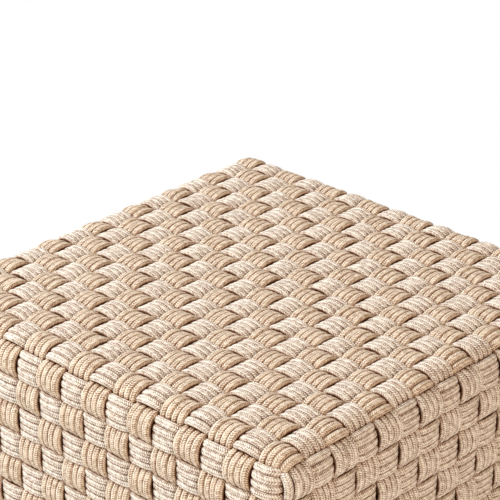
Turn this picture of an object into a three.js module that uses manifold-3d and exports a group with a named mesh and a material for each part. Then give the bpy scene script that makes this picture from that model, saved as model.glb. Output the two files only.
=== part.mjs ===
// Outdoor ottoman: a square footstool covered all over in a tight plain weave, over one and under one.
// A band is a flat row of round cords lying side by side. Cross bands run from side to side over the
// top and down both sides, length bands run from front to back, and hoop bands go round the four sides.
// The bands are carried by a frame of round tube: four legs with rails between them, on plastic glides.
// Millimetres, +Z up, front towards -Y. The origin is on the floor under the middle.

import * as THREE from 'three';
import { mergeVertices } from 'three/addons/utils/BufferGeometryUtils.js';
import Module from 'manifold-3d';

// Cover
const cord_diameter = 7.5;
const cords_per_band = 4;
const band_play = 0.5; // free width beside each band
const bands_across = 16;
const hoop_rows = 12;
const weave_gap = 0.4; // least gap between two bands that cross
const edge_inset = 7; // how far the rounding of an edge cuts it back from each of its two faces
const tail_length = 12; // run of a band under the bottom rail, past the rail's middle

// Frame
const rail_diameter = 25;
const leg_diameter = 25;
const tube_sides = 8;
const leg_set_in = 2.5; // how much further in than the rails the legs stand
const leg_cap_height = 7; // sloped cap that closes the top of a leg
const leg_cap_drop = 1; // how far the cap's top lies below the top of the rails
const leg_cap_share = 0.55; // top of the cap, as a share of the leg's radius
const leg_wall = 1.5;
const seat_gap = 0.3; // left between pieces that touch

// Glides
const glide_height = 12;
const glide_foot_share = 0.84; // foot of the glide, as a share of its own radius
const glide_chamfer = 3;
const glide_stem_length = 22;

// Weave, worked out so that two layers are two cords thick and the crossings keep the weave gap
const band_pitch = cords_per_band * cord_diameter + band_play;
const wave_height = (2 * cord_diameter + weave_gap / 2) / 3;
const crown_height = wave_height - weave_gap / 2;
const band_width = band_pitch * (1 - weave_gap / (2 * wave_height));

// Edges: the outermost band on each face lies on a facet that slopes to the ridge of the edge
const facet_run = Math.sqrt(band_pitch ** 2 - edge_inset ** 2);
const edge_margin = facet_run + edge_inset;
const half_width = face_half(bands_across);
const half_height = face_half(hoop_rows);

// Frame lines, set in from the faces of the cover until the bands rest on the rails
const rail_radius = rail_diameter / 2;
const facet_slope = (facet_run + edge_inset) / band_pitch; // cosine plus sine of the facet's slope
const rail_inset = edge_inset + (rail_radius + seat_gap + wave_height) / facet_slope;
const leg_inset = rail_inset + leg_set_in;
const leg_radius = leg_diameter / 2;
const rail_line = half_width - rail_inset;
const leg_line = half_width - leg_inset;
const cover_base = glide_height + rail_radius - rail_inset;
const cover_middle = cover_base + half_height;

const AXIS_X = new THREE.Vector3(1, 0, 0);
const AXIS_Y = new THREE.Vector3(0, 1, 0);
const AXIS_Z = new THREE.Vector3(0, 0, 1);

const wasm = await Module();
wasm.setup();

const cord_finish = new THREE.MeshStandardMaterial({ color: '#cbb592', roughness: 0.85, metalness: 0 });
const frame_finish = new THREE.MeshStandardMaterial({ color: '#5a4a3a', roughness: 0.5, metalness: 0.4 });
const glide_finish = new THREE.MeshStandardMaterial({ color: '#1c1b1a', roughness: 0.6, metalness: 0 });

// Half of a face's length, for its number of bands
function face_half(bands) {
  return (bands / 2 - 1) * band_pitch + edge_margin;
}

// Place across a face, in band pitches from its middle: offset along the face and depth below it
function place_across(step, bands) {
  const flat_steps = bands / 2 - 1;
  const past = Math.max(Math.abs(step) - flat_steps, 0);
  const within = Math.sign(step) * Math.min(Math.abs(step), flat_steps);
  return {
    offset: within * band_pitch + Math.sign(step) * past * facet_run,
    depth: past * edge_inset,
  };
}

// One face of the cover as a band meets it: the way it runs, its outward side and its crossings
function make_face(along, out, crossings, reach) {
  return { along, out, crossings, reach, half: face_half(crossings) };
}

// Where a band crosses another, along the face. On the sloping facets that is halfway to the ridge, and
// the band stays level with the face up to there, clear of the bands on both sides of the facet's inner edge.
function crossing_along(face, index) {
  const step = index + 0.5 - face.crossings / 2;
  const flat_steps = face.crossings / 2 - 1;
  if (Math.abs(step) < flat_steps) {
    return step * band_pitch;
  }
  return Math.sign(step) * (flat_steps * band_pitch + facet_run / 2);
}

// The two edges of a band: where each lies across the face, and how deep
function band_edges(index, bands) {
  const step = index + 0.5 - bands / 2;
  const half = band_width / band_pitch / 2;
  return [place_across(step - half, bands), place_across(step + half, bands)];
}

// One section of a band: two base corners and a crown, lifted off the cover's inner surface
function make_ring(points, direction, out, lift) {
  const side = points[1].clone().sub(points[0]);
  const normal = direction.clone().cross(side).normalize();
  if (normal.dot(out) < 0) {
    normal.negate();
  }
  const corners = points.map((point) => point.clone().addScaledVector(normal, lift));
  const crown = corners[0].clone().lerp(corners[1], 0.5).addScaledVector(normal, crown_height);
  return [corners[0], corners[1], crown];
}

function face_point(face, across, edge, along, depth) {
  return new THREE.Vector3(0, 0, cover_middle)
    .addScaledVector(across, edge.offset)
    .addScaledVector(face.along, along)
    .addScaledVector(face.out, face.reach - depth);
}

function crossing_ring(face, across, edges, index, lift) {
  const along = crossing_along(face, index);
  const points = edges.map((edge) => face_point(face, across, edge, along, edge.depth));
  return make_ring(points, face.along, face.out, lift);
}

// Section on the ridge between a face and the next one along the band
function ridge_ring(face, next, across, edges, lift) {
  const along = face.half - edge_inset;
  const points = edges.map((edge) => face_point(face, across, edge, along, edge_inset));
  const out = face.out.clone().add(next.out);
  return make_ring(points, face.along.clone().add(next.along), out, lift);
}

// A closed band from its sections: three faces a stretch, with two end caps unless it is a hoop
function band_geometry(rings, closed) {
  const positions = rings.flat().flatMap((corner) => corner.toArray());
  const faces = [];
  const stretches = closed ? rings.length : rings.length - 1;
  for (let s = 0; s < stretches; s++) {
    const near = 3 * s;
    const far = 3 * ((s + 1) % rings.length);
    for (let k = 0; k < 3; k++) {
      const next = (k + 1) % 3;
      faces.push(near + k, near + next, far + k, near + next, far + next, far + k);
    }
  }
  if (!closed) {
    const last = 3 * (rings.length - 1);
    faces.push(0, 2, 1, last, last + 1, last + 2);
  }
  return outward_geometry(positions, faces);
}

// Turns the faces over if they enclose a negative volume
function outward_geometry(positions, faces) {
  const corner = (k) => new THREE.Vector3().fromArray(positions, 3 * faces[k]);
  let volume = 0;
  for (let k = 0; k < faces.length; k += 3) {
    volume += corner(k).dot(corner(k + 1).cross(corner(k + 2)));
  }
  const ordered = volume > 0 ? faces : faces.slice().reverse();
  const geometry = new THREE.BufferGeometry();
  geometry.setAttribute('position', new THREE.Float32BufferAttribute(positions, 3));
  geometry.setIndex(ordered);
  return geometry;
}

// Sections of a band that goes up one side, over the top and down the other. The corner bands end at the
// bottom ridges, and the others turn under the bottom rails.
function draped_rings(faces, across, index, over) {
  const edges = band_edges(index, bands_across);
  const [under, up, top, down] = faces;
  const turns_under = index > 0 && index < bands_across - 1;
  const lift = (face, m) => (over(face, m) ? wave_height : -wave_height);
  const face_rings = (face) => {
    return Array.from({ length: face.crossings }, (_, m) => {
      return crossing_ring(face, across, edges, m, lift(face, m));
    });
  };
  const bottom_lift = (face, m) => (turns_under ? Math.min(lift(face, m), 0) : 0);
  return [
    ...(turns_under ? under_rings(under, across, edges, 1).reverse() : []),
    ridge_ring(under, up, across, edges, bottom_lift(up, 0)),
    ...face_rings(up),
    ridge_ring(up, top, across, edges, 0),
    ...face_rings(top),
    ridge_ring(top, down, across, edges, 0),
    ...face_rings(down),
    ridge_ring(down, under, across, edges, bottom_lift(down, hoop_rows - 1)),
    ...(turns_under ? under_rings(under, across, edges, -1) : []),
  ];
}

// Turn under the bottom rail at one end of a band: where it rests on the rail, and the end of its tail
function under_rings(under, across, edges, side) {
  const depth = rail_inset - rail_radius - seat_gap;
  return [rail_line, rail_line - tail_length].map((distance) => {
    const points = edges.map((edge) => face_point(under, across, edge, side * distance, depth));
    return make_ring(points, under.along, under.out, 0);
  });
}

// Cross bands, counted from the back. They pass over a length band where the two counts make an odd sum.
function cross_band(index) {
  const under = make_face(AXIS_X.clone().negate(), AXIS_Z.clone().negate(), bands_across, half_height);
  const left = make_face(AXIS_Z, AXIS_X.clone().negate(), hoop_rows, half_width);
  const top = make_face(AXIS_X, AXIS_Z, bands_across, half_height);
  const right = make_face(AXIS_Z.clone().negate(), AXIS_X, hoop_rows, half_width);
  const over = (face, m) => {
    if (face === top) {
      return (index + m) % 2 === 1;
    }
    return face === left ? (index + hoop_rows - 1 - m) % 2 === 0 : (index + m) % 2 === 1;
  };
  const across = AXIS_Y.clone().negate();
  return band_geometry(draped_rings([under, left, top, right], across, index, over), false);
}

// Length bands, counted from the left
function length_band(index) {
  const under = make_face(AXIS_Y.clone().negate(), AXIS_Z.clone().negate(), bands_across, half_height);
  const front = make_face(AXIS_Z, AXIS_Y.clone().negate(), hoop_rows, half_width);
  const top = make_face(AXIS_Y, AXIS_Z, bands_across, half_height);
  const back = make_face(AXIS_Z.clone().negate(), AXIS_Y, hoop_rows, half_width);
  const over = (face, m) => {
    if (face === top) {
      return (index + bands_across - 1 - m) % 2 === 0;
    }
    return face === front ? (index + hoop_rows - 1 - m) % 2 === 0 : (index + m) % 2 === 1;
  };
  return band_geometry(draped_rings([under, front, top, back], AXIS_X, index, over), false);
}

// Hoop bands, counted from the top, start at the left end of the front
function hoop_band(index) {
  const front = make_face(AXIS_X, AXIS_Y.clone().negate(), bands_across, half_width);
  const right = make_face(AXIS_Y, AXIS_X, bands_across, half_width);
  const back = make_face(AXIS_X.clone().negate(), AXIS_Y, bands_across, half_width);
  const left = make_face(AXIS_Y.clone().negate(), AXIS_X.clone().negate(), bands_across, half_width);
  const faces = [front, right, back, left];
  const across = AXIS_Z.clone().negate();
  const edges = band_edges(index, hoop_rows);
  const rings = [];
  faces.forEach((face, side) => {
    for (let m = 0; m < bands_across; m++) {
      const over = (index + m) % 2 === 1;
      rings.push(crossing_ring(face, across, edges, m, over ? wave_height : -wave_height));
    }
    rings.push(ridge_ring(face, faces[(side + 1) % faces.length], across, edges, 0));
  });
  return band_geometry(rings, true);
}

// Solids and meshes to and from the boolean library
function to_solid(geometry) {
  const bare = geometry.clone();
  bare.deleteAttribute('normal');
  bare.deleteAttribute('uv');
  const merged = mergeVertices(bare);
  return new wasm.Manifold(new wasm.Mesh({
    numProp: 3,
    vertProperties: new Float32Array(merged.attributes.position.array),
    triVerts: new Uint32Array(merged.index.array),
  }));
}

function to_geometry(solid) {
  const mesh = solid.getMesh();
  const geometry = new THREE.BufferGeometry();
  geometry.setAttribute('position', new THREE.BufferAttribute(mesh.vertProperties, mesh.numProp));
  geometry.setIndex(new THREE.BufferAttribute(mesh.triVerts, 1));
  return geometry;
}

// Turned piece about a vertical axis, from a profile of radius and height pairs
function turned(profile) {
  const points = profile.map(([radius, height]) => new THREE.Vector2(radius, height));
  return new THREE.LatheGeometry(points, tube_sides).rotateX(Math.PI / 2);
}

// Leg: a tube with a sloped cap on top and an open socket for its glide
function leg_geometry() {
  const top = cover_middle + half_height - rail_inset + rail_radius - leg_cap_drop;
  return turned([
    [0, glide_height + glide_stem_length],
    [leg_radius - leg_wall, glide_height + glide_stem_length],
    [leg_radius - leg_wall, glide_height],
    [leg_radius, glide_height],
    [leg_radius, top - leg_cap_height],
    [leg_radius * leg_cap_share, top],
    [0, top],
  ]);
}

function glide_geometry() {
  const stem_radius = leg_radius - leg_wall - seat_gap;
  return turned([
    [0, 0],
    [leg_radius * glide_foot_share, 0],
    [leg_radius, glide_chamfer],
    [leg_radius, glide_height - seat_gap],
    [stem_radius, glide_height - seat_gap],
    [stem_radius, glide_height + glide_stem_length - seat_gap],
    [0, glide_height + glide_stem_length - seat_gap],
  ]);
}

// Rail along X at the origin, its ends hollowed to fit round the legs. It stops short of the rails beside it.
function rail_geometry() {
  const length = 2 * (rail_line - rail_radius - seat_gap);
  const bar = new THREE.CylinderGeometry(rail_radius, rail_radius, length, tube_sides);
  let solid = to_solid(bar.rotateZ(Math.PI / 2));
  for (const side of [-1, 1]) {
    const clear_radius = leg_radius + seat_gap;
    const cutter = new THREE.CylinderGeometry(clear_radius, clear_radius, 2 * rail_diameter, tube_sides);
    cutter.rotateX(Math.PI / 2);
    cutter.translate(side * leg_line, leg_set_in, 0);
    solid = solid.subtract(to_solid(cutter));
  }
  return to_geometry(solid);
}

const ottoman = new THREE.Group();
ottoman.name = 'ottoman';

function add_piece(name, geometry, material) {
  const mesh = new THREE.Mesh(geometry, material);
  mesh.name = name;
  ottoman.add(mesh);
  return mesh;
}

const two_figures = (index) => String(index + 1).padStart(2, '0');

for (let index = 0; index < bands_across; index++) {
  add_piece('cross_band_' + two_figures(index), cross_band(index), cord_finish);
  add_piece('length_band_' + two_figures(index), length_band(index), cord_finish);
}
for (let index = 0; index < hoop_rows; index++) {
  add_piece('hoop_band_' + two_figures(index), hoop_band(index), cord_finish);
}

for (const [side_x, side_y, corner] of [
  [-1, -1, 'front_left'], [1, -1, 'front_right'], [1, 1, 'back_right'], [-1, 1, 'back_left'],
]) {
  const leg = add_piece('leg_' + corner, leg_geometry(), frame_finish);
  const glide = add_piece('glide_' + corner, glide_geometry(), glide_finish);
  leg.position.set(side_x * leg_line, side_y * leg_line, 0);
  glide.position.copy(leg.position);
}

const rail_levels = { bottom: cover_base + rail_inset, top: cover_middle + half_height - rail_inset };
for (const [level, height] of Object.entries(rail_levels)) {
  ['front', 'right', 'back', 'left'].forEach((side, quarter) => {
    const rail = add_piece(level + '_rail_' + side, rail_geometry(), frame_finish);
    const turn = quarter * Math.PI / 2;
    rail.rotation.z = turn;
    rail.position.set(rail_line * Math.sin(turn), -rail_line * Math.cos(turn), height);
  });
}

export default ottoman;
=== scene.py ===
"""Outdoor ottoman: a square footstool covered all over in a plain weave of flat cord bands.

Each band is four round braided cords side by side. Cross bands run from side to side, length bands
from front to back and hoop bands round the four sides. The cords lie on a rounded shell that is
carried by a frame of welded tube on plastic glides. Metres, +Z up, front towards -Y.
"""

import math
import random
from functools import partial

import bpy
from bpy.props import FloatProperty, FloatVectorProperty, IntProperty, PointerProperty
from bpy.types import Operator, Panel, PropertyGroup
from mathutils import Matrix, Vector


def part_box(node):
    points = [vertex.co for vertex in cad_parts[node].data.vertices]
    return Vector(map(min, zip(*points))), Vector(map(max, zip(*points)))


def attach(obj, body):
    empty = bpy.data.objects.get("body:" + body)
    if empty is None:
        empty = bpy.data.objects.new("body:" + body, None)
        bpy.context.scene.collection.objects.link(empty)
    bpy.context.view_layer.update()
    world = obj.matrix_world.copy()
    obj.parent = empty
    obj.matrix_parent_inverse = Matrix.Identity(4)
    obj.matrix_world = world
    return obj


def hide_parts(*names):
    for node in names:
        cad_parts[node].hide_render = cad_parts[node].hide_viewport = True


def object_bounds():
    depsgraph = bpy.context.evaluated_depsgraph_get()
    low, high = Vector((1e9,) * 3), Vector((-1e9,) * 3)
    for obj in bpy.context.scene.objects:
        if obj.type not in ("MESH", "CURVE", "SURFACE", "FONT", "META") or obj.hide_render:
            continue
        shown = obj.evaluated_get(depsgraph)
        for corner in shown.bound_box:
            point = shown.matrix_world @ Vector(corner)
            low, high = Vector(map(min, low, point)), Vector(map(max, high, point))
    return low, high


bl_info = {
    "name": "Woven cord footstool",
    "version": (1, 0, 0),
    "blender": (4, 5, 0),
    "location": "View3D > Sidebar > Footstool",
    "description": "Builds a footstool woven in braided cord round a packed tube frame",
    "category": "Object",
}

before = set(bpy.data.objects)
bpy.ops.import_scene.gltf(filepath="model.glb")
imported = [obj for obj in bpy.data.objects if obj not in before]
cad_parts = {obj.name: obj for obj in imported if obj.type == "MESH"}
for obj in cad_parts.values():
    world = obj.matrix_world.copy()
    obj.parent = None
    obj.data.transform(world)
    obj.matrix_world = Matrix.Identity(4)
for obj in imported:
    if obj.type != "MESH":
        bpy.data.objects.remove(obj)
CAD_LOW, CAD_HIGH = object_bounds()

MM = 0.001
UP = Vector((0, 0, 1))
CORNERS = ("front_left", "front_right", "back_right", "back_left")
SIDES = ("front", "right", "back", "left")
COAT = "Powder-coated aluminium tube, satin brown"
SWEEP = "Sweep round section"
SEEDS = {"cross_band": 100, "length_band": 200, "hoop_band": 300}

# Ends of the cords, past the bottom edge
TAIL_RINGS = 11  # rings round the underside of the rail
STAPLED_RING = 5  # ring, counted from the end, that a staple holds
CORNER_RINGS = 3  # rings of a corner band, whose cords end beside a leg
CORNER_TAIL = 0.08  # run of a corner band's cords, in rows, short of the glide
DRAWN_IN = 0.022  # share by which the other bands are drawn together, to pass the glides
DRAW_START = 0.6  # how far before the bottom edge that begins, in rows
DRAW_RUN = 0.8  # how many rows it takes
MELTED_RUNS = (0.9 * MM, 1.3 * MM)  # how far past its last full ring a sealed end narrows and closes
MELTED_GIRTH = 0.75  # share of the full thickness where it narrows

# Kinds of node that are used most
MATH = "ShaderNodeMath"
VECTOR = "ShaderNodeVectorMath"
RANGE = "ShaderNodeMapRange"
MIX = "ShaderNodeMix"
NOISE = "ShaderNodeTexNoise"
STORE = "GeometryNodeStoreNamedAttribute"
READ = "GeometryNodeInputNamedAttribute"


def linear(code):
    """Linear colour of an sRGB hex code."""
    parts = [int(code[k:k + 2], 16) / 255 for k in (1, 3, 5)]
    return tuple(c / 12.92 if c <= 0.04045 else ((c + 0.055) / 1.055) ** 2.4 for c in parts)


def colour(name, description, code):
    """A colour setting whose default is given as an sRGB hex code."""
    return FloatVectorProperty(name=name, description=description, subtype="COLOR", size=3,
                               min=0, max=1, default=linear(code))


def number(name, description, default, **settings):
    """A setting that is a number, whole if its default is."""
    kind = IntProperty if isinstance(default, int) else FloatProperty
    return kind(name=name, description=description, default=default, **settings)


def length(name, description, default):
    """A length setting in metres."""
    return number(name, description, default, unit="LENGTH", min=0, precision=5)


class CoverSettings(PropertyGroup):
    """Sizes and colours of the woven cover."""

    cord_diameter: length("Cord diameter", "Thickness of one braided cord", 7.5 * MM)
    cords_per_band: number("Cords per band", "Cords that lie side by side in a band", 4, min=1)
    bands_across: number("Bands across", "Bands each way over the top", 16, min=2)
    hoop_rows: number("Hoop rows", "Bands that go round the sides", 12, min=1)
    cord_bulk: number("Cord bulk", "Thickness of a relaxed cord in the weave, as a share", 1.16,
                      min=0.5)
    cord_fullness: number("Cord fullness", "2 is a round section, more is squarer", 2.5, min=1.5)
    cord_flatness: number("Cord flatness", "Height of a cord's section as a share of its width", 0.9,
                          min=0.5, max=1.5)
    cord_spacing: length("Cord spacing", "Distance between neighbouring cords of a band", 7.2 * MM)
    top_wave: length("Top wave", "Rise of a cord over the middle of the weave, on the top", 6.0 * MM)
    side_wave: length("Side wave", "The same for the upright cords of the sides", 7.0 * MM)
    hoop_wave: length("Hoop wave", "The same for the cords of the hoops", 4.4 * MM)
    cord_sink: length("Sink", "How far the soft cords press in towards the frame", 2.5 * MM)
    wave_roundness: number("Wave roundness", "Low values give flat tops and steep ends", 1.1, min=0.05)
    hoop_roundness: number("Hoop roundness", "The same for the hoops", 0.55, min=0.05)
    band_wander: length("Band wander", "How far a band strays sideways from its line", 1.1 * MM)
    cord_wander: length("Cord wander", "How far a cord strays within its band", 0.5 * MM)
    lift_spread: number("Lift spread", "Difference in height from one crossing to the next", 0.13,
                        min=0, max=1)
    steps_per_crossing: number("Steps per crossing", "Rings of a cord from one crossing to the next",
                               8, min=4)
    cord_sides: number("Cord sides", "Faces round a cord", 12, min=6)
    stitch_length: length("Stitch length", "Length of one stitch of the braid", 2.0 * MM)
    stitch_columns: number("Stitch columns", "Rows of stitches round a cord", 8, min=4)
    stitch_relief: length("Stitch relief", "Height of a stitch of the braid", 0.5 * MM)
    light_yarn: colour("Light yarn", "The braid's lighter yarn", "#f9f3e9")
    dark_yarn: colour("Dark yarn", "The braid's darker yarn", "#e9dbc8")
    # Painted shade: the length bands take a darker, warmer copy of the one cream yarn, as their cords
    # lie across the key light and show their shaded flanks
    light_tan: colour("Light tan", "Lighter yarn of the length bands", "#f4e7d5")
    dark_tan: colour("Dark tan", "Darker yarn of the length bands", "#e0c9ac")
    # Painted shade, laid on by how little sky a point sees: in the pits between stitches, on the flanks
    # of a cord and down the crevices of the weave
    pit: colour("Pit colour", "Shade in the pits between stitches", "#704420")
    half_shade: colour("Flank shade", "Yarn on the flanks of a cord", "#b57f48")
    shade: colour("Crevice shade", "Yarn down in the crevices of the weave", "#522207")


class FrameSettings(PropertyGroup):
    """Sizes and colours of the tube frame, its glides and the staples."""

    tube_sides: number("Tube sides", "Faces round a tube", 48, min=8)
    tube_wall: length("Tube wall", "Thickness of the tube's wall", 1.5 * MM)
    leg_cap: length("Leg cap", "Height of the sloped cap on top of a leg", 7 * MM)
    leg_socket: length("Leg socket", "Depth of the hole for the glide's stem", 22 * MM)
    glide_chamfer: length("Glide chamfer", "Height of the rounding at the glide's foot", 3 * MM)
    glide_rib: length("Glide rib", "Distance between the ribs of the glide's stem", 3.2 * MM)
    bead: length("Weld bead", "Thickness of the bead where tubes are welded", 3.2 * MM)
    bead_ripples: number("Bead ripples", "Ripples of the bead round a joint", 44, min=0)
    staple_width: length("Staple width", "Distance between the legs of a staple", 5.4 * MM)
    staple_wire: length("Staple wire", "Thickness of a staple's wire", 1.2 * MM)
    staple_bend: length("Staple bend", "Radius of a staple's two bends", 1.2 * MM)
    coat: colour("Powder coat", "Brown powder coat of the tubes", "#5a4a3a")
    plastic: colour("Glide plastic", "Black plastic of the glides", "#1c1b1a")
    scuff: colour("Scuffed plastic", "The glides' plastic where it is scuffed", "#3a3835")
    zinc: colour("Zinc", "Zinc-coated wire of the staples", "#b9bbbd")


class StageSettings(PropertyGroup):
    """Camera, floor and lights."""

    lens: number("Lens", "Focal length in millimetres", 156.2)
    place: FloatVectorProperty(
        name="Camera place", description="Where the camera stands", subtype="TRANSLATION",
        size=3, default=(1.3333, -1.4762, 1.3740))
    azimuth: number("Azimuth", "Turn of the camera to the left of the front view",
                    math.radians(42.49), subtype="ANGLE")
    elevation: number("Elevation", "How far the camera looks down", math.radians(25.42),
                      subtype="ANGLE")
    roll: number("Roll", "Tilt of the camera about its view", math.radians(0.29), subtype="ANGLE")
    key_power: number("Key light", "Power in watts", 222.0)
    fill_power: number("Fill light", "Power in watts", 33.0)
    sky: number("Sky light", "Strength of the even light", 0.6)
    floor: colour("Floor", "Pale studio floor", "#f4f3f1")


def wire(node, inputs):
    """Sets inputs, named or numbered, to values or sockets. A node stands for its first live output."""
    for key, value in inputs.items():
        if isinstance(value, bpy.types.Node):
            value = next(output for output in value.outputs if output.enabled)
        if isinstance(value, bpy.types.NodeSocket):
            node.id_data.links.new(value, node.inputs[key])
        else:
            node.inputs[key].default_value = value


def add_node(tree, kind, inputs=None, **settings):
    """Adds a node with its settings, then its inputs."""
    node = tree.nodes.new(kind)
    for key, value in settings.items():
        setattr(node, key, value)
    wire(node, inputs or {})
    return node


def emptied(block):
    """Turns on the nodes of a material or world and clears them. Returns add_node for its tree."""
    block.use_nodes = True
    block.node_tree.nodes.clear()
    return partial(add_node, block.node_tree)


def new_material(name):
    """A node material with its output. Returns the material, add_node for its tree and the shader."""
    material = bpy.data.materials.new(name)
    add = emptied(material)
    shader = add("ShaderNodeBsdfPrincipled")
    add("ShaderNodeOutputMaterial", {"Surface": shader})
    return material, add, shader


def kept(name, make, *values):
    """The material or node tree of that name, made on first use."""
    found = bpy.data.materials.get(name) or bpy.data.node_groups.get(name)
    return found or make(*values)


def rgba(tone, share=1.0):
    """A colour with its alpha, made darker or lighter by a share."""
    return (*(share * c for c in tone), 1)


def braided_cord(cover, name, light, dark):
    """Round cord braided in solution-dyed olefin yarn, matt.

    The eye sees slanting stitches in columns that lean left and right in turn, lighter and darker
    yarn among them, and warm shade painted into the colour on the flanks and down in the grooves.
    The photograph's stitches look finer: these are drawn as coarse as they need to be to show in
    the render.
    """
    slant_share = 0.9  # how far a stitch slants over its column's width, in stitches
    column_power, stitch_power = 0.5, 0.6  # low powers give full stitches with narrow pits
    yarn_share, patch_share = 0.5, 0.3  # how much a stitch's own yarn, and its patch, may darken it
    patch_size = 45.5 * MM
    reach = 8 * MM  # how far off a neighbour still shades the yarn
    material, add, shader = new_material(name)
    uv = add("ShaderNodeUVMap", uv_map="UVMap")
    turn = add("ShaderNodeSeparateXYZ", {0: uv})
    rows = add(MATH, {0: turn.outputs[0], 1: 1 / cover.stitch_length}, operation="MULTIPLY")
    columns = add(MATH, {0: turn.outputs[1], 1: cover.stitch_columns}, operation="MULTIPLY")
    column = add(MATH, {0: columns}, operation="FLOOR")
    in_column = add(MATH, {0: columns}, operation="FRACT")
    # Odd columns lean one way and even ones the other
    odd = add(MATH, {0: column, 1: 2.0}, operation="MODULO")
    lean = add(MATH, {0: odd, 1: -2.0, 2: 1.0}, operation="MULTIPLY_ADD")
    slant = add(MATH, {0: in_column, 1: lean}, operation="MULTIPLY")
    leaned = add(MATH, {0: slant, 1: slant_share, 2: rows}, operation="MULTIPLY_ADD")
    row = add(MATH, {0: leaned}, operation="FLOOR")
    in_row = add(MATH, {0: leaned}, operation="FRACT")
    # Each stitch is a low dome, from 0 in the pits round it to 1 in its middle
    row_arch = add(MATH, {0: in_row, 1: math.pi}, operation="MULTIPLY")
    row_arch = add(MATH, {0: row_arch}, operation="SINE")
    column_arch = add(MATH, {0: in_column, 1: math.pi}, operation="MULTIPLY")
    column_arch = add(MATH, {0: column_arch}, operation="SINE")
    column_arch = add(MATH, {0: column_arch, 1: column_power}, operation="POWER")
    stitch = add(MATH, {0: row_arch, 1: column_arch}, operation="MULTIPLY")
    stitch = add(MATH, {0: stitch, 1: stitch_power}, operation="POWER")

    which = add("ShaderNodeCombineXYZ", {0: row, 1: column})
    chance = add("ShaderNodeTexWhiteNoise", {"Vector": which}, noise_dimensions="2D")
    place = add("ShaderNodeTexCoord").outputs["Object"]
    patch = add(NOISE, {"Vector": place, "Scale": 1 / patch_size, "Detail": 2.0})
    # Light yarn is the more common, and a patch a few centimetres across may be a little darker
    darker = add(MATH, {0: chance, 1: yarn_share}, operation="MULTIPLY")
    darker = add(MATH, {0: patch, 1: patch_share, 2: darker}, operation="MULTIPLY_ADD")
    yarn = add(MIX, {"Factor": darker, "A": rgba(light), "B": rgba(dark)}, data_type="RGBA")
    # Painted shade, by how little sky a point sees: the flanks of a cord are painted tan, the grooves
    # between cords brown and the crevices of the weave nearly black, as light that reaches a groove
    # there has gone from yarn to yarn
    open_sky = add("ShaderNodeAmbientOcclusion", {"Distance": reach}, samples=8).outputs["AO"]
    beside = add(RANGE, {"Value": open_sky, "From Min": 0.35, "From Max": 0.8,
                         "To Min": 0.72, "To Max": 0.0})
    warmed = add(MIX, {"Factor": beside, "A": yarn, "B": rgba(cover.half_shade)}, data_type="RGBA")
    # Painted shade in the pits between stitches, some much deeper than others, and the more so
    # down the flanks where less sky is open, which speckles the cord and serrates the grooves
    part = add("ShaderNodeSeparateXYZ", {0: chance.outputs["Color"]})
    depth = add(RANGE, {"Value": part.outputs[1], "From Min": 0.25, "From Max": 1.0,
                        "To Min": 0.55, "To Max": 1.55})
    flank = add(RANGE, {"Value": open_sky, "From Min": 0.5, "From Max": 0.92,
                        "To Min": 1.7, "To Max": 1.1})
    deep = add(MATH, {0: 1.0, 1: stitch}, operation="SUBTRACT")
    deep = add(MATH, {0: deep, 1: depth}, operation="MULTIPLY")
    deep = add(MATH, {0: deep, 1: flank}, operation="MULTIPLY", use_clamp=True)
    pitted = add(MIX, {"Factor": deep, "A": warmed, "B": rgba(cover.pit)}, data_type="RGBA")
    # Painted shade: the crevices of the weave, where almost no sky is open, are painted nearly black
    closed_in = add(RANGE, {"Value": open_sky, "From Min": 0.26, "From Max": 0.5,
                            "To Min": 1.0, "To Max": 0.0},
                    interpolation_type="SMOOTHSTEP")
    shaded = add(MIX, {"Factor": closed_in, "A": pitted, "B": rgba(cover.shade)}, data_type="RGBA")
    rough = add(RANGE, {"Value": stitch, "To Min": 0.95, "To Max": 0.78})
    bump = add("ShaderNodeBump", {"Height": stitch, "Distance": cover.stitch_relief})
    wire(shader, {"Base Color": shaded, "Roughness": rough, "Normal": bump, "IOR": 1.49,
                  "Specular IOR Level": 0.1, "Sheen Weight": 0.02, "Sheen Roughness": 0.5})
    return material


def coated_tube(settings):
    """Aluminium tube with a satin brown powder coat.

    The coat's fine orange peel breaks up the reflections, and its colour is a little uneven.
    """
    cloud_size, peel_size, peel_height = 33.3 * MM, 1.11 * MM, 0.05 * MM
    material, add, shader = new_material(COAT)
    place = add("ShaderNodeTexCoord").outputs["Object"]
    cloud = add(NOISE, {"Vector": place, "Scale": 1 / cloud_size, "Detail": 3.0})
    tint = add(MIX, {"Factor": cloud, "A": rgba(settings.coat, 0.85),
                     "B": rgba(settings.coat, 1.15)}, data_type="RGBA")
    peel = add(NOISE, {"Vector": place, "Scale": 1 / peel_size, "Detail": 1.0})
    rough = add(RANGE, {"Value": cloud, "To Min": 0.38, "To Max": 0.52})
    bump = add("ShaderNodeBump", {"Height": peel, "Distance": peel_height, "Strength": 0.6})
    wire(shader, {"Base Color": tint, "Roughness": rough, "Normal": bump, "IOR": 1.5})
    return material


def moulded_glide(settings):
    """Moulded black polypropylene: a spark texture, slightly greyer where it is scuffed.

    The texture is drawn coarser than a usual one.
    """
    scuff_size, grain_size, grain_height = 8.33 * MM, 0.625 * MM, 0.06 * MM
    material, add, shader = new_material("Moulded polypropylene, black")
    place = add("ShaderNodeTexCoord").outputs["Object"]
    scuff = add(NOISE, {"Vector": place, "Scale": 1 / scuff_size, "Detail": 4.0})
    scuffed = add(RANGE, {"Value": scuff, "From Min": 0.5, "From Max": 0.8})
    tint = add(MIX, {"Factor": scuffed, "A": rgba(settings.plastic),
                     "B": rgba(settings.scuff)}, data_type="RGBA")
    grain = add("ShaderNodeTexVoronoi", {"Vector": place, "Scale": 1 / grain_size})
    rough = add(RANGE, {"Value": scuff, "To Min": 0.45, "To Max": 0.65})
    bump = add("ShaderNodeBump", {"Height": grain, "Distance": grain_height, "Strength": 0.5})
    wire(shader, {"Base Color": tint, "Roughness": rough, "Normal": bump, "IOR": 1.49})
    return material


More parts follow.
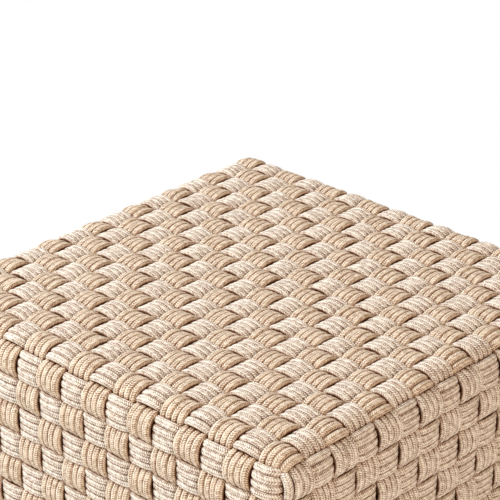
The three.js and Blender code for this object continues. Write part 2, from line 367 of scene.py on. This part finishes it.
def zinc_wire(settings):
    """Zinc-coated steel wire: dull silver with a faint mottle."""
    mottle_size = 1.43 * MM
    material, add, shader = new_material("Zinc-coated steel wire")
    place = add("ShaderNodeTexCoord").outputs["Object"]
    mottle = add(NOISE, {"Vector": place, "Scale": 1 / mottle_size, "Detail": 2.0})
    tint = add(MIX, {"Factor": mottle, "A": rgba(settings.zinc, 0.75),
                     "B": rgba(settings.zinc)}, data_type="RGBA")
    rough = add(RANGE, {"Value": mottle, "To Min": 0.3, "To Max": 0.5})
    wire(shader, {"Base Color": tint, "Roughness": rough, "Metallic": 1.0})
    return material


def sweep_tree():
    """Geometry nodes that sweep a round section along each line of a mesh.

    The line's points carry the way that faces outwards and the share of the full thickness there.
    The result has a UV map: metres along the line, and turns round it from the line's own number,
    so that no two cords have their stitches alike.
    """
    weld_distance = 0.002 * MM
    tree = bpy.data.node_groups.new(SWEEP, "GeometryNodeTree")
    for name, kind in (("Lines", "Geometry"), ("Diameter", "Float"), ("Sides", "Int"),
                       ("Fullness", "Float"), ("Flatness", "Float"), ("Material", "Material")):
        tree.interface.new_socket(name, in_out="INPUT", socket_type="NodeSocket" + kind)
    tree.interface.new_socket("Pieces", in_out="OUTPUT", socket_type="NodeSocketGeometry")
    add = partial(add_node, tree)
    given = add("NodeGroupInput").outputs
    outward = add(READ, {"Name": "outward"}, data_type="FLOAT_VECTOR")
    read = {name: add(READ, {"Name": name}, data_type="FLOAT")
            for name in ("girth", "number", "along", "around")}

    line = add("GeometryNodeMeshToCurve", {"Mesh": given["Lines"]})
    line = add("GeometryNodeSetCurveNormal", {"Curve": line, "Normal": outward}, mode="FREE")
    run = add("GeometryNodeSplineParameter")
    line = add(STORE, {"Geometry": line, "Name": "along", "Value": run.outputs["Length"]},
               data_type="FLOAT", domain="POINT")

    radius = add(MATH, {0: given["Diameter"], 1: 0.5}, operation="MULTIPLY")
    steps = add(MATH, {0: given["Sides"], 1: 1.0}, operation="ADD")
    section = add("GeometryNodeCurveArc",
                  {"Resolution": steps, "Radius": 1.0, "Start Angle": 0.0,
                   "Sweep Angle": 2 * math.pi}, mode="RADIUS")
    # Cords press each other into a fuller section: |x|^n + |y|^n = 1, and a round one has n = 2
    spot = add("GeometryNodeInputPosition")
    size = add(VECTOR, {0: spot}, operation="ABSOLUTE")
    raised = add(VECTOR, {0: size, 1: given["Fullness"]}, operation="POWER")
    whole = add(VECTOR, {0: raised, 1: (1.0, 1.0, 0.0)}, operation="DOT_PRODUCT")
    root = add(MATH, {0: -1.0, 1: given["Fullness"]}, operation="DIVIDE")
    stretch = add(MATH, {0: whole, 1: root}, operation="POWER")
    stretch = add(MATH, {0: stretch, 1: radius}, operation="MULTIPLY")
    wider = add(VECTOR, {0: spot, "Scale": stretch}, operation="SCALE")
    flatter = add("ShaderNodeCombineXYZ", {0: given["Flatness"], 1: 1.0, 2: 1.0})
    wider = add(VECTOR, {0: wider, 1: flatter}, operation="MULTIPLY")
    section = add("GeometryNodeSetPosition", {"Geometry": section, "Position": wider})
    turn = add("GeometryNodeSplineParameter")
    section = add(STORE,
                  {"Geometry": section, "Name": "around", "Value": turn.outputs["Factor"]},
                  data_type="FLOAT", domain="POINT")

    swept = add("GeometryNodeCurveToMesh",
                {"Curve": line, "Profile Curve": section, "Scale": read["girth"]})
    turns = add(MATH, {0: read["around"], 1: read["number"]}, operation="ADD")
    uv = add("ShaderNodeCombineXYZ", {0: read["along"], 1: turns})
    mapped = add(STORE, {"Geometry": swept, "Name": "UVMap", "Value": uv},
                 data_type="FLOAT2", domain="CORNER")
    closed = add("GeometryNodeMergeByDistance", {"Geometry": mapped, "Distance": weld_distance})
    smooth = add("GeometryNodeSetShadeSmooth", {"Geometry": closed})
    real = add("GeometryNodeRealizeInstances", {"Geometry": smooth})
    done = add("GeometryNodeSetMaterial", {"Geometry": real, "Material": given["Material"]})
    add("NodeGroupOutput", {0: done})
    return tree


def add_object(name, data):
    """A new object in the scene."""
    item = bpy.data.objects.new(name, data)
    bpy.context.scene.collection.objects.link(item)
    return item


def line_mesh(name, lines):
    """A mesh of lines. Each line is (points, outward directions, girths, closed, number)."""
    points, outward, girths, numbers, edges = [], [], [], [], []
    for places, ways, shares, closed, own in lines:
        first, count = len(points), len(places)
        points += places
        outward += ways
        girths += shares
        numbers += [own] * count
        edges += [(first + k, first + k + 1) for k in range(count - 1)]
        if closed:
            edges.append((first + count - 1, first))
    mesh = bpy.data.meshes.new(name)
    mesh.from_pydata(points, edges, [])
    mesh.attributes.new("outward", "FLOAT_VECTOR", "POINT").data.foreach_set(
        "vector", [c for way in outward for c in way])
    for key, values in (("girth", girths), ("number", numbers)):
        mesh.attributes.new(key, "FLOAT", "POINT").data.foreach_set("value", values)
    return mesh


def node_mesh(name, mesh, tree, values):
    """Runs a geometry node tree on a mesh and returns the result as a plain mesh."""
    source = add_object(name + "_source", mesh)
    modifier = source.modifiers.new("Nodes", "NODES")
    modifier.node_group = tree
    sockets = {s.name: s.identifier for s in tree.interface.items_tree
               if s.item_type == "SOCKET" and s.in_out == "INPUT"}
    for key, value in values.items():
        modifier[sockets[key]] = value
    graph = bpy.context.evaluated_depsgraph_get()
    result = bpy.data.meshes.new_from_object(
        source.evaluated_get(graph), preserve_all_data_layers=True, depsgraph=graph)
    bpy.data.objects.remove(source)
    bpy.data.meshes.remove(mesh)
    for extra in ("outward", "girth", "number", "along", "around"):
        if extra in result.attributes:
            result.attributes.remove(result.attributes[extra])
    result.name = name
    return result


def sweep(name, lines, material, diameter, sides, fullness=2.0, flatness=1.0):
    """Sweeps a section along lines and returns the mesh."""
    return node_mesh(name, line_mesh(name, lines), kept(SWEEP, sweep_tree),
                     {"Diameter": diameter, "Sides": sides, "Fullness": fullness,
                      "Flatness": flatness, "Material": material})


def skin(name, rings, material):
    """A closed skin over rings of points, with a fan over the first ring and over the last."""
    crease = math.radians(40)  # edges that turn more than this look sharp
    count = len(rings[0])
    points = [point for ring in rings for point in ring]
    last = len(points) - count
    faces = []
    for j in range(count):
        nxt = (j + 1) % count
        faces += [(first + j, first + nxt, first + count + nxt, first + count + j)
                  for first in range(0, last, count)]
        faces.append((nxt, j, len(points)))
        faces.append((last + j, last + nxt, len(points) + 1))
    points += [sum(ring, Vector()) / count for ring in (rings[0], rings[-1])]
    mesh = bpy.data.meshes.new(name)
    mesh.from_pydata(points, [], faces)
    mesh.polygons.foreach_set("use_smooth", [True] * len(faces))
    mesh.set_sharp_from_angle(angle=crease)
    mesh.materials.append(material)
    return mesh


def turned(name, profile, axis, sides, material):
    """A turned solid on an upright axis. The profile is (radius, height) with the solid on its left."""
    middle = (axis[0] + axis[1]) / 2
    turns = full_turn(sides)
    rings = [[Vector((middle.x + radius * math.cos(t), middle.y + radius * math.sin(t), height))
              for t in turns] for radius, height in profile]
    return skin(name, rings, material)


def add_piece(name, mesh, slot, *nodes):
    """Puts a finished piece in the scene, riding on the one body."""
    piece = add_object(name, mesh)
    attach(piece, "root")
    if nodes:
        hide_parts(*nodes)


def full_turn(count):
    """Angles of a full turn in equal steps."""
    return [2 * math.pi * k / count for k in range(count)]


def clamp(value, limit):
    return max(-limit, min(limit, value))


def ease(share):
    """Smooth step from 0 to 1."""
    share = max(0.0, min(1.0, share))
    return share * share * (3 - 2 * share)


class Shell:
    """The cover's middle surface: a box with rounded edges, between the two layers of the weave.

    Its edges are rounded about the rails, so their lines in the CAD frame give its flat parts.
    """

    def __init__(self, cover):
        low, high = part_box("top_rail_right")
        self.tube_radius = (high.z - low.z) / 2
        self.flat = (low.x + high.x) / 2
        self.top = (low.z + high.z) / 2
        low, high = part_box("bottom_rail_right")
        self.bottom = (low.z + high.z) / 2
        self.radius = CAD_HIGH.x - cover.cord_diameter - self.flat
        self.half_turn = math.pi / 4 * self.radius
        self.bands = cover.bands_across / 2
        self.rows = cover.hoop_rows
        self.pitch = (self.flat + self.half_turn) / self.bands
        self.row_pitch = (self.top - self.bottom + 2 * self.half_turn) / cover.hoop_rows
        self.seat = self.tube_radius + cover.cord_diameter / 2

    def tilt(self, run, flat):
        """For a run across a face: its place on the flat part and its angle on the rounding."""
        return clamp(run, flat), math.copysign(max(abs(run) - flat, 0) / self.radius, run)

    def over_top(self, phase):
        """Out, up and angle from upright, in band steps from the middle of the top downwards."""
        past = max(phase - self.bands, 0)
        run = min(phase, self.bands) * self.pitch + past * self.row_pitch
        if run < self.flat:
            return run, self.top, 0.0
        run -= self.flat
        if run < 2 * self.half_turn:
            return self.flat, self.top, run / self.radius
        run -= 2 * self.half_turn
        if run < self.top - self.bottom:
            return self.flat, self.top - run, math.pi / 2
        run -= self.top - self.bottom
        return self.flat, self.bottom, math.pi / 2 + run / self.radius


class Wander:
    """A slow sideways drift along a band, the same on every run: three waves, each finer."""

    def __init__(self, chance, size):
        self.waves = [(size * chance.uniform(0.4, 1) / k, k * chance.uniform(0.14, 0.3),
                       chance.uniform(0, 2 * math.pi)) for k in (1, 2, 4)]

    def __call__(self, phase):
        return sum(size * math.sin(rate * phase + start) for size, rate, start in self.waves)


def wave(phase, spread):
    """Over and under: +1 and -1 half way between whole phases, and 0 at each of them."""
    side = math.sin(math.pi * phase)
    return side * math.sqrt((1 + spread ** 2) / (side ** 2 + spread ** 2))


def upright(points, ways, closed):
    """Turns each outward direction square to its line."""
    count = len(points)
    squared = []
    for k, way in enumerate(ways):
        before = points[k - 1] if closed or k else points[0]
        after = points[(k + 1) % count] if closed or k < count - 1 else points[-1]
        tangent = (after - before).normalized()
        squared.append((way - tangent * way.dot(tangent)).normalized())
    return squared


def melted_ends(points):
    """Girths that round off both ends of a cord, whose cut ends are sealed with heat."""
    return [0.0, MELTED_GIRTH] + [1.0] * (len(points) - 4) + [MELTED_GIRTH, 0.0]


def lift_spreads(cover, chance, count):
    """How high a cord lies at each crossing, as shares."""
    return [1 + chance.uniform(-1, 1) * cover.lift_spread for k in range(count)]


def laid_band(cover, shell, chance, start, sign, place, corner):
    """The cords of a cross or length band, over the top and down both sides.

    start is the band's place across the top, sign gives over or under at the first crossing, place
    turns (along, across, up) into a point, and corner says whether the band ends beside a leg.
    """
    bottom_edge = 3 * math.pi / 4  # angle from upright of the middle of the bottom rounding
    settling = math.pi / 5  # turn over which a cord comes down on the rail
    lines = []
    drift = Wander(chance, cover.band_wander)
    steps = cover.steps_per_crossing
    end = shell.bands + shell.rows
    tail = CORNER_TAIL if corner else math.pi / 2 * shell.radius / shell.row_pitch
    whole = int(end * steps)
    phases = [k / steps for k in range(-whole, whole + 1)]
    rings = CORNER_RINGS if corner else TAIL_RINGS
    extra = [end + tail * (k + 1) / rings for k in range(rings)]
    extra += [end + tail + run / shell.row_pitch for run in MELTED_RUNS]
    phases = [-p for p in reversed(extra)] + phases + extra
    middle = (cover.cords_per_band - 1) / 2
    for cord in range(cover.cords_per_band):
        own = Wander(chance, cover.cord_wander)
        lifts = lift_spreads(cover, chance, int(2 * end) + 4)
        points, ways = [], []
        for phase in phases:
            across = start + (cord - middle) * cover.cord_spacing + drift(phase) + own(phase)
            if not corner:
                across *= 1 - DRAWN_IN * ease((abs(phase) - end + DRAW_START) / DRAW_RUN)
            core, lean = shell.tilt(across, shell.flat)
            out, up, angle = shell.over_top(abs(phase))
            down = ease(abs(phase) - shell.bands + 0.5)
            height = cover.top_wave + (cover.side_wave - cover.top_wave) * down
            height *= sign * wave(phase + shell.bands, cover.wave_roundness)
            height *= lifts[int(phase + end + 1)]
            rise = shell.radius + height - cover.cord_sink
            if abs(phase) > end:
                rise += (shell.seat - rise) * ease((angle - bottom_edge) / settling)
            side = math.copysign(1, phase)
            way = Vector((side * math.sin(angle) * math.cos(lean), math.sin(lean),
                          math.cos(angle) * math.cos(lean)))
            points.append(place(Vector((side * out, core, up)) + way * rise))
            ways.append(place(way))
        lines.append((points, upright(points, ways, False),
                      melted_ends(points), False, chance.randrange(1000)))
    return lines


def hoop_band(cover, shell, chance, row):
    """The cords of one hoop, from the left end of the front round the four sides."""
    band_waves, cord_waves = 3, 11  # sideways waves of the band and of a cord in one round
    lines = []
    steps = cover.steps_per_crossing
    per_side = cover.bands_across
    middle = (cover.cords_per_band - 1) / 2
    half_wall = (shell.top - shell.bottom) / 2
    start = (shell.rows / 2 - row - 0.5) * shell.row_pitch
    sign = 1 if row % 2 else -1
    total = len(SIDES) * per_side
    size = chance.uniform(0.5, 1) * cover.band_wander
    turn = chance.uniform(0, 2 * math.pi)
    for cord in range(cover.cords_per_band):
        lifts = lift_spreads(cover, chance, total)
        own = chance.uniform(0, 2 * math.pi)
        points, ways = [], []
        for k in range(total * steps):
            phase = k / steps
            side, local = divmod(phase, per_side)
            along, outward = side_ways(side)
            angle_round = 2 * math.pi * phase / total
            across = (start + (cord - middle) * cover.cord_spacing
                      + size * math.sin(band_waves * angle_round + turn)
                      + cover.cord_wander * math.sin(cord_waves * angle_round + own))
            core, lean = shell.tilt(across, half_wall)
            run, angle = shell.tilt((local - per_side / 2) * shell.pitch, shell.flat)
            way = (outward * math.cos(angle) + along * math.sin(angle)) * math.cos(lean)
            way += UP * math.sin(lean)
            height = cover.hoop_wave * sign * wave(phase, cover.hoop_roundness)
            height *= lifts[int(phase)]
            point = outward * shell.flat + along * run + UP * (half_wall + shell.bottom + core)
            points.append(point + way * (shell.radius + height - cover.cord_sink))
            ways.append(way)
        lines.append((points, upright(points, ways, True), [1.0] * len(points), True,
                      chance.randrange(1000)))
    return lines


def weave(name, lines, cover, yarns="cream"):
    """Sweeps the cords of one band and puts the band in place of its CAD node."""
    # The tan copy of the cream yarn is painted shade for the length bands, whose cords lie across the
    # key light
    finish = f"Braided olefin cord, {yarns}"
    light, dark = ((cover.light_tan, cover.dark_tan) if yarns == "tan"
                   else (cover.light_yarn, cover.dark_yarn))
    material = kept(finish, braided_cord, cover, finish, light, dark)
    mesh = sweep(name + "_cords", lines, material, cover.cord_diameter * cover.cord_bulk,
                 cover.cord_sides, cover.cord_fullness, cover.cord_flatness)
    add_piece(name + "_cords", mesh, "cord", name)


def side_ways(side):
    """Along and outward directions of a side: front, right, back and left are 0 to 3."""
    along = Vector((math.cos(side * math.pi / 2), math.sin(side * math.pi / 2), 0))
    return along, along.cross(UP)


def tube_sizes(level):
    """Line, radius, height and reach of the rails of a level, and line and radius of the legs."""
    low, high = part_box(f"{level}_rail_right")
    rail = {"line": (low.x + high.x) / 2, "radius": (high.z - low.z) / 2,
            "height": (low.z + high.z) / 2, "reach": high.y}
    low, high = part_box("leg_back_right")
    leg = {"line": (low.x + high.x) / 2, "radius": (high.x - low.x) / 2}
    return rail, leg


def rail_end(rail, leg, turn):
    """How far out a rail reaches at a turn round it, where its end is cut to fit round the leg."""
    out_of_line = rail["line"] - leg["line"] + rail["radius"] * math.sin(turn)
    inside = leg["radius"] ** 2 - out_of_line ** 2
    reach = leg["line"] - math.sqrt(inside) if inside > 0 else rail["reach"]
    return min(reach, rail["reach"])


def laid_bands(cover, group):
    """The lines of the cross bands, the back one first, or of the length bands, the left one first."""
    shell = Shell(cover)
    if group == "cross_band":
        way, place = -1, lambda v: v
    else:
        way, place = 1, lambda v: Vector((v.y, -v.x, v.z))
    return [laid_band(cover, shell, random.Random(SEEDS[group] + k),
                      way * (k + 0.5 - shell.bands) * shell.pitch, -way if k % 2 else way, place,
                      k in (0, cover.bands_across - 1))
            for k in range(cover.bands_across)]


class FOOTSTOOL_OT_cross_bands(Operator):
    """Weaves the bands that run from side to side"""

    bl_idname = "footstool.cross_bands"
    bl_label = "Cross bands"

    def execute(self, context):
        cover = context.scene.footstool_cover
        for k, lines in enumerate(laid_bands(cover, "cross_band")):
            weave(f"cross_band_{k + 1:02d}", lines, cover)
        return {"FINISHED"}


class FOOTSTOOL_OT_length_bands(Operator):
    """Weaves the bands that run from front to back"""

    bl_idname = "footstool.length_bands"
    bl_label = "Length bands"

    def execute(self, context):
        cover = context.scene.footstool_cover
        for k, lines in enumerate(laid_bands(cover, "length_band")):
            # The length bands' cords, which lie across the key light, take the tan copy: painted shade
            weave(f"length_band_{k + 1:02d}", lines, cover, "tan")
        return {"FINISHED"}


class FOOTSTOOL_OT_hoop_bands(Operator):
    """Weaves the bands that go round the four sides"""

    bl_idname = "footstool.hoop_bands"
    bl_label = "Hoop bands"

    def execute(self, context):
        cover = context.scene.footstool_cover
        shell = Shell(cover)
        for k in range(cover.hoop_rows):
            lines = hoop_band(cover, shell, random.Random(SEEDS["hoop_band"] + k), k)
            weave(f"hoop_band_{k + 1:02d}", lines, cover)
        return {"FINISHED"}


class FOOTSTOOL_OT_rails(Operator):
    """Makes the round rails, their ends cut to fit round the legs"""

    bl_idname = "footstool.rails"
    bl_label = "Rails"

    def execute(self, context):
        settings = context.scene.footstool_frame
        material = kept(COAT, coated_tube, settings)
        turns = full_turn(settings.tube_sides)
        for level in ("top", "bottom"):
            rail, leg = tube_sizes(level)
            for k, side in enumerate(SIDES):
                along, outward = side_ways(k)
                middle = outward * rail["line"] + UP * rail["height"]
                rings = [[middle + along * end * rail_end(rail, leg, t)
                          + (UP * math.cos(t) + outward * math.sin(t)) * rail["radius"]
                          for t in turns] for end in (-1, 1)]
                name = f"{level}_rail_{side}"
                add_piece(name + "_tube", skin(name, rings, material), "frame", name)
        return {"FINISHED"}


class FOOTSTOOL_OT_legs(Operator):
    """Makes the round legs, with a sloped cap on top and a socket for the glide"""

    bl_idname = "footstool.legs"
    bl_label = "Legs"

    def execute(self, context):
        settings = context.scene.footstool_frame
        material = kept(COAT, coated_tube, settings)
        edge = 0.4 * MM  # rounding of the tube's edges
        cap_shares = (0.60, 0.55, 0.48)  # radii of the cap's rounded top, as shares of the leg's
        for corner in CORNERS:
            name = "leg_" + corner
            low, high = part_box(name)
            radius = (high.x - low.x) / 2
            inner = radius - settings.tube_wall
            shoulder = high.z - settings.leg_cap
            profile = [(inner, low.z + settings.leg_socket), (inner, low.z + edge),
                       (inner + edge, low.z), (radius - edge, low.z), (radius, low.z + edge),
                       (radius, shoulder - edge), (radius - edge / 2, shoulder + edge)]
            profile += [(share * radius, high.z - drop)
                        for share, drop in zip(cap_shares, (2 * edge, edge / 2, 0))]
            mesh = turned(name, profile, (low, high), settings.tube_sides, material)
            add_piece(name + "_tube", mesh, "frame", name)
        return {"FINISHED"}


class FOOTSTOOL_OT_glides(Operator):
    """Makes the glides, whose ribbed stems plug into the legs"""

    bl_idname = "footstool.glides"
    bl_label = "Glides"

    def execute(self, context):
        settings = context.scene.footstool_frame
        material = kept("Moulded polypropylene, black", moulded_glide, settings)
        foot_inset, foot_steps = 2 * MM, 6  # rounding of the foot
        gap = 0.3 * MM  # play between the glide and the leg
        rim_edge = 0.5 * MM
        rib_depth, rib_rise, rib_slope = 0.9 * MM, 1.3 * MM, 0.3 * MM
        tip_taper, tip_rise = 2 * MM, 0.2 * MM
        for corner in CORNERS:
            name = "glide_" + corner
            low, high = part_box(name)
            radius = (high.x - low.x) / 2
            foot = radius - foot_inset
            profile = [(foot, low.z)]
            for k in range(1, foot_steps + 1):
                turn = math.pi / 2 * k / foot_steps
                profile.append((foot + (radius - foot) * math.sin(turn),
                                low.z + settings.glide_chamfer * (1 - math.cos(turn))))
            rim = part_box("leg_" + corner)[0].z - gap
            profile += [(radius, rim - rim_edge), (radius - rim_edge, rim)]
            stem = radius - settings.tube_wall - gap
            core = stem - rib_depth
            height = rim
            while height + settings.glide_rib < high.z - tip_taper:
                profile += [(core, height), (core, height + rib_depth), (stem, height + rib_rise),
                            (stem - rib_slope, height + settings.glide_rib)]
                height += settings.glide_rib
            profile += [(core, height + tip_rise), (stem - tip_taper, high.z)]
            mesh = turned(name, profile, (low, high), settings.tube_sides, material)
            add_piece(name + "_moulding", mesh, "glide", name)
        return {"FINISHED"}


class FOOTSTOOL_OT_welds(Operator):
    """Lays a rippled bead round each joint of rail and leg"""

    bl_idname = "footstool.welds"
    bl_label = "Weld beads"

    def execute(self, context):
        settings = context.scene.footstool_frame
        material = kept(COAT, coated_tube, settings)
        sunk = settings.bead / 6  # how far a bead's middle lies back from the rail's end
        ripple, ripple_steps, bead_sides = 0.16, 4, 8
        for k, side in enumerate(SIDES):
            along, outward = side_ways(k)
            lines = []
            for level in ("top", "bottom"):
                rail, leg = tube_sizes(level)
                middle = outward * rail["line"] + UP * rail["height"]
                for end in (-1, 1):
                    points, ways, girths = [], [], []
                    for turn in full_turn(ripple_steps * settings.bead_ripples):
                        way = UP * math.cos(turn) + outward * math.sin(turn)
                        reach = rail_end(rail, leg, turn) - sunk
                        points.append(middle + along * end * reach + way * rail["radius"])
                        ways.append(way)
                        girths.append(1 + ripple * math.sin(settings.bead_ripples * turn))
                    lines.append((points, upright(points, ways, True), girths, True, 0))
            name = f"weld_beads_{side}"
            add_piece(name, sweep(name, lines, material, settings.bead, bead_sides), "frame")
        return {"FINISHED"}


class FOOTSTOOL_OT_staples(Operator):
    """Staples the ends of the cords to the underside of the bottom rails they turn under"""

    bl_idname = "footstool.staples"
    bl_label = "Staples"

    def execute(self, context):
        settings = context.scene.footstool_frame
        cover = context.scene.footstool_cover
        material = kept("Zinc-coated steel wire", zinc_wire, settings)
        cord_height = cover.cord_diameter * cover.cord_bulk * cover.cord_flatness
        half, bend, wire_sides = settings.staple_width / 2, settings.staple_bend, 6
        depth = cord_height + 1 * MM
        eased = 0.3 * bend  # the middle of a bend lies this far in from its corner
        # Half of a staple from the middle of its crown: across the cord, and up from the crown
        path = [(0, 0), (half - bend, 0), (half - eased, -eased), (half, -bend), (half, -depth)]
        path = [(-x, z) for x, z in reversed(path[1:])] + path[1:]
        for group, sides in (("cross_band", ("left", "right")), ("length_band", ("back", "front"))):
            bands = laid_bands(cover, group)
            for side, near in zip(sides, (STAPLED_RING, -1 - STAPLED_RING)):
                lines = []
                for band in bands[1:-1]:
                    for points, ways, *rest in band:
                        along = (points[near + 1] - points[near - 1]).normalized()
                        crown = points[near] + ways[near] * (cord_height + settings.staple_wire) / 2
                        across = along.cross(ways[near])
                        bent = [crown + across * x + ways[near] * z for x, z in path]
                        lines.append((bent, upright(bent, [along] * len(bent), False),
                                      [0.0] + [1.0] * (len(bent) - 2) + [0.0], False, 0))
                name = f"staples_{side}"
                mesh = sweep(name, lines, material, settings.staple_wire, wire_sides)
                add_piece(name, mesh, "frame")
        return {"FINISHED"}


def seen_rays(add):
    """1 for rays that see the surroundings: from the camera, off gloss or through glass."""
    ray = add("ShaderNodeLightPath").outputs
    seen = add(MATH, {0: ray["Is Camera Ray"], 1: ray["Is Glossy Ray"]}, operation="MAXIMUM")
    return add(MATH, {0: seen, 1: ray["Is Transmission Ray"]}, operation="MAXIMUM")


def add_camera(stage):
    """A camera at the photograph's place and angle."""
    data = bpy.data.cameras.new("Camera")
    data.lens, data.sensor_width = stage.lens, 36
    data.clip_start, data.clip_end = 0.05, 60
    camera = add_object("Camera", data)
    camera.matrix_world = (Matrix.Translation(stage.place)
                           @ Matrix.Rotation(stage.azimuth, 4, "Z")
                           @ Matrix.Rotation(math.pi / 2 - stage.elevation, 4, "X")
                           @ Matrix.Rotation(stage.roll, 4, "Z"))
    bpy.context.scene.camera = camera


def add_floor(stage):
    """A pale floor that turns to plain white away from the object, so that a soft shadow is left."""
    far = 14  # from the middle of the floor to an edge
    fade_start, fade_end = 0.45, 0.85  # distances from the middle of the object
    mesh = bpy.data.meshes.new("Floor")
    mesh.from_pydata([(-far, -far, 0), (far, -far, 0), (far, far, 0), (-far, far, 0)], [],
                     [(0, 1, 2, 3)])
    floor = add_object("Floor", mesh)
    material = bpy.data.materials.new("Pale studio floor")
    add = emptied(material)
    matt = add("ShaderNodeBsdfDiffuse", {"Color": rgba(stage.floor)})
    white = add("ShaderNodeEmission", {"Color": (1, 1, 1, 1), "Strength": 1.0})
    place = add("ShaderNodeTexCoord").outputs["Object"]
    reach = add(VECTOR, {0: place}, operation="LENGTH")
    away = add(RANGE, {"Value": reach, "From Min": fade_start, "From Max": fade_end},
               interpolation_type="SMOOTHSTEP")
    share = add(MATH, {0: away, 1: seen_rays(add)}, operation="MULTIPLY")
    mixed = add("ShaderNodeMixShader", {0: share, 1: matt, 2: white})
    add("ShaderNodeOutputMaterial", {"Surface": mixed})
    mesh.materials.append(material)


def add_world(stage):
    """An even warm light, which looks plain white itself."""
    world = bpy.data.worlds.new("Studio")
    add = emptied(world)
    even = add("ShaderNodeBackground", {"Color": (1.0, 0.91, 0.82, 1), "Strength": stage.sky})
    white = add("ShaderNodeBackground", {"Color": (1, 1, 1, 1), "Strength": 1.0})
    mixed = add("ShaderNodeMixShader", {0: seen_rays(add), 1: even, 2: white})
    add("ShaderNodeOutputWorld", {"Surface": mixed})
    bpy.context.scene.world = world


def add_lamp(name, power, size, place, tint):
    """A square lamp that faces the upper part of the object."""
    aim_share = 0.7  # of the object's height
    data = bpy.data.lights.new(name, "AREA")
    data.energy, data.size, data.color = power, size, tint
    lamp = add_object(name, data)
    lamp.location = place
    aim = Vector((0, 0, CAD_HIGH.z * aim_share))
    lamp.rotation_euler = (aim - Vector(place)).to_track_quat("-Z", "Y").to_euler()


class FOOTSTOOL_OT_stage(Operator):
    """Sets the camera, the floor and the lights"""

    bl_idname = "footstool.stage"
    bl_label = "Stage"

    def execute(self, context):
        stage = context.scene.footstool_stage
        context.scene.view_settings.view_transform = "Standard"
        add_camera(stage)
        add_floor(stage)
        add_world(stage)
        # A large cool lamp high on the left, and a smaller, weaker and warm one lower on the right
        add_lamp("Key", stage.key_power, 2.0, (-2.4, -1.75, 2.8), (0.88, 0.95, 1.0))
        add_lamp("Fill", stage.fill_power, 1.4, (2.8, -0.9, 1.5), (1.0, 0.71, 0.46))
        return {"FINISHED"}


STEPS = (FOOTSTOOL_OT_stage, FOOTSTOOL_OT_cross_bands, FOOTSTOOL_OT_length_bands,
         FOOTSTOOL_OT_hoop_bands, FOOTSTOOL_OT_rails, FOOTSTOOL_OT_legs, FOOTSTOOL_OT_welds,
         FOOTSTOOL_OT_glides, FOOTSTOOL_OT_staples)
GROUPS = {"footstool_cover": CoverSettings, "footstool_frame": FrameSettings,
          "footstool_stage": StageSettings}


class FOOTSTOOL_PT_panel(Panel):
    """Lists the steps and settings"""

    bl_label = "Woven footstool"
    bl_idname = "FOOTSTOOL_PT_panel"
    bl_space_type = "VIEW_3D"
    bl_region_type = "UI"
    bl_category = "Footstool"

    def draw(self, context):
        layout = self.layout
        for step in STEPS:
            layout.operator(step.bl_idname)
        for name in GROUPS:
            group = getattr(context.scene, name)
            box = layout.box()
            for key in group.bl_rna.properties.keys():
                if key not in ("rna_type", "name"):
                    box.prop(group, key)


def register():
    for item in (*GROUPS.values(), *STEPS, FOOTSTOOL_PT_panel):
        bpy.utils.register_class(item)
    for name, group in GROUPS.items():
        setattr(bpy.types.Scene, name, PointerProperty(type=group))


def unregister():
    for name in GROUPS:
        delattr(bpy.types.Scene, name)
    for item in reversed((*GROUPS.values(), *STEPS, FOOTSTOOL_PT_panel)):
        bpy.utils.unregister_class(item)


def main():
    register()
    bpy.ops.footstool.stage()
    bpy.ops.footstool.cross_bands()
    bpy.ops.footstool.length_bands()
    bpy.ops.footstool.hoop_bands()
    bpy.ops.footstool.rails()
    bpy.ops.footstool.legs()
    bpy.ops.footstool.welds()
    bpy.ops.footstool.glides()
    bpy.ops.footstool.staples()


if __name__ == "__main__":
    main()
